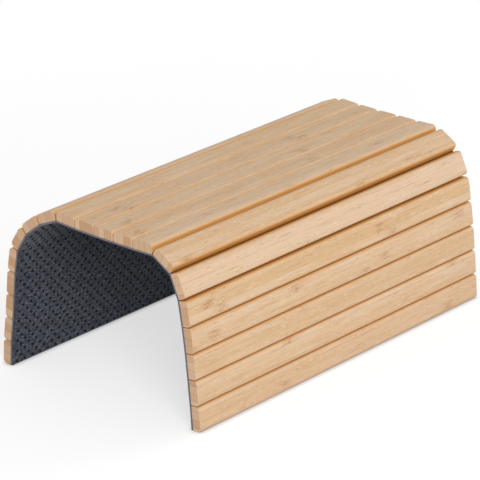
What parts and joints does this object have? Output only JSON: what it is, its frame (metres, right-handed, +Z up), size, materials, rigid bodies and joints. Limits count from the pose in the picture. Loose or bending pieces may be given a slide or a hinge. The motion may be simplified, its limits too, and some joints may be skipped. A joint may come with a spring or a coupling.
{
  "type": "sofa arm tray",
  "caption": "Flexible tray of bamboo slats on a dotted felt backing, draped over a sofa arm to give a flat top; it also lies flat and rolls up for storage.",
  "frame": {"origin": "centre of the bounding box at its bottom, where the two ends of the mat stand", "axes": "+X across the sofa arm, +Y along the slats, +Z up"},
  "size_m": [0.2362, 0.352, 0.1575],
  "materials": {
    "bamboo": "sanded bamboo under a thin satin oil",
    "felt": "dark grey needled felt with small raised anti-slip dots on the arm side"
  },
  "bodies": {
    "strip_01": {"slat_01": "bamboo", "felt_01": "felt"},
    "strip_02": {"slat_02": "bamboo", "felt_02": "felt"},
    "strip_03": {"slat_03": "bamboo", "felt_03": "felt"},
    "strip_04": {"slat_04": "bamboo", "felt_04": "felt"},
    "strip_05": {"slat_05": "bamboo", "felt_05": "felt"},
    "strip_06": {"slat_06": "bamboo", "felt_06": "felt"},
    "strip_07": {"slat_07": "bamboo", "felt_07": "felt"},
    "strip_08": {"slat_08": "bamboo", "felt_08": "felt"},
    "strip_09": {"slat_09": "bamboo", "felt_09": "felt"},
    "strip_10": {"slat_10": "bamboo", "felt_10": "felt"},
    "strip_11": {"slat_11": "bamboo", "felt_11": "felt"},
    "strip_12": {"slat_12": "bamboo", "felt_12": "felt"},
    "strip_13": {"slat_13": "bamboo", "felt_13": "felt"},
    "strip_14": {"slat_14": "bamboo", "felt_14": "felt"},
    "strip_15": {"slat_15": "bamboo", "felt_15": "felt"},
    "strip_16": {"slat_16": "bamboo", "felt_16": "felt"},
    "strip_17": {"slat_17": "bamboo", "felt_17": "felt"},
    "strip_18": {"slat_18": "bamboo", "felt_18": "felt"},
    "strip_19": {"slat_19": "bamboo", "felt_19": "felt"},
    "strip_20": {"slat_20": "bamboo", "felt_20": "felt"}
  },
  "joints": [
    {"name": "bend_01_02", "type": "hinge", "parent": "strip_02", "child": "strip_01", "pos_m": [-0.10716, 0, 0.02227], "axis": [0, -1, 0], "range_deg": [-8, 24]},
    {"name": "bend_02_03", "type": "hinge", "parent": "strip_03", "child": "strip_02", "pos_m": [-0.10226, 0, 0.04423], "axis": [0, -1, 0], "range_deg": [-1, 32]},
    {"name": "bend_03_04", "type": "hinge", "parent": "strip_04", "child": "strip_03", "pos_m": [-0.09814, 0, 0.06635], "axis": [0, -1, 0], "range_deg": [-2.5, 30.5]},
    {"name": "bend_04_05", "type": "hinge", "parent": "strip_05", "child": "strip_04", "pos_m": [-0.0942, 0, 0.0885], "axis": [0, -1, 0], "range_deg": [-7.5, 26.5]},
    {"name": "bend_05_06", "type": "hinge", "parent": "strip_06", "child": "strip_05", "pos_m": [-0.08854, 0, 0.11028], "axis": [0, -1, 0], "range_deg": [-25, 10]},
    {"name": "bend_06_07", "type": "hinge", "parent": "strip_07", "child": "strip_06", "pos_m": [-0.07513, 0, 0.12835], "axis": [0, -1, 0], "range_deg": [-21.5, 14.5]},
    {"name": "bend_07_08", "type": "hinge", "parent": "strip_08", "child": "strip_07", "pos_m": [-0.05669, 0, 0.14123], "axis": [0, -1, 0], "range_deg": [-17, 20]},
    {"name": "bend_08_09", "type": "hinge", "parent": "strip_09", "child": "strip_08", "pos_m": [-0.03567, 0, 0.14927], "axis": [0, -1, 0], "range_deg": [-28.5, 9.5]},
    {"name": "bend_09_10", "type": "hinge", "parent": "strip_10", "child": "strip_09", "pos_m": [-0.01324, 0, 0.14747], "axis": [0, -1, 0], "range_deg": [-1, 39]},
    {"name": "bend_10_11", "type": "hinge", "parent": "strip_11", "child": "strip_10", "pos_m": [0.00924, 0, 0.14646], "axis": [0, -1, 0], "range_deg": [-2, 39]},
    {"name": "bend_11_12", "type": "hinge", "parent": "strip_11", "child": "strip_12", "pos_m": [0.03173, 0, 0.14585], "axis": [0, 1, 0], "range_deg": [-3, 40]},
    {"name": "bend_12_13", "type": "hinge", "parent": "strip_12", "child": "strip_13", "pos_m": [0.05422, 0, 0.14523], "axis": [0, 1, 0], "range_deg": [-1.5, 43.5]},
    {"name": "bend_13_14", "type": "hinge", "parent": "strip_13", "child": "strip_14", "pos_m": [0.07672, 0, 0.1452], "axis": [0, 1, 0], "range_deg": [-35.5, 11.5]},
    {"name": "bend_14_15", "type": "hinge", "parent": "strip_14", "child": "strip_15", "pos_m": [0.09568, 0, 0.13309], "axis": [0, 1, 0], "range_deg": [-40, 10]},
    {"name": "bend_15_16", "type": "hinge", "parent": "strip_15", "child": "strip_16", "pos_m": [0.10353, 0, 0.112], "axis": [0, 1, 0], "range_deg": [-17, 36]},
    {"name": "bend_16_17", "type": "hinge", "parent": "strip_16", "child": "strip_17", "pos_m": [0.10605, 0, 0.08964], "axis": [0, 1, 0], "range_deg": [-5.5, 50.5]},
    {"name": "bend_17_18", "type": "hinge", "parent": "strip_17", "child": "strip_18", "pos_m": [0.10759, 0, 0.0672], "axis": [0, 1, 0], "range_deg": [-4.5, 56.5]},
    {"name": "bend_18_19", "type": "hinge", "parent": "strip_18", "child": "strip_19", "pos_m": [0.10855, 0, 0.04472], "axis": [0, 1, 0], "range_deg": [-3.5, 64.5]},
    {"name": "bend_19_20", "type": "hinge", "parent": "strip_19", "child": "strip_20", "pos_m": [0.1093, 0, 0.02223], "axis": [0, 1, 0], "range_deg": [-4, 73]}
  ]
}
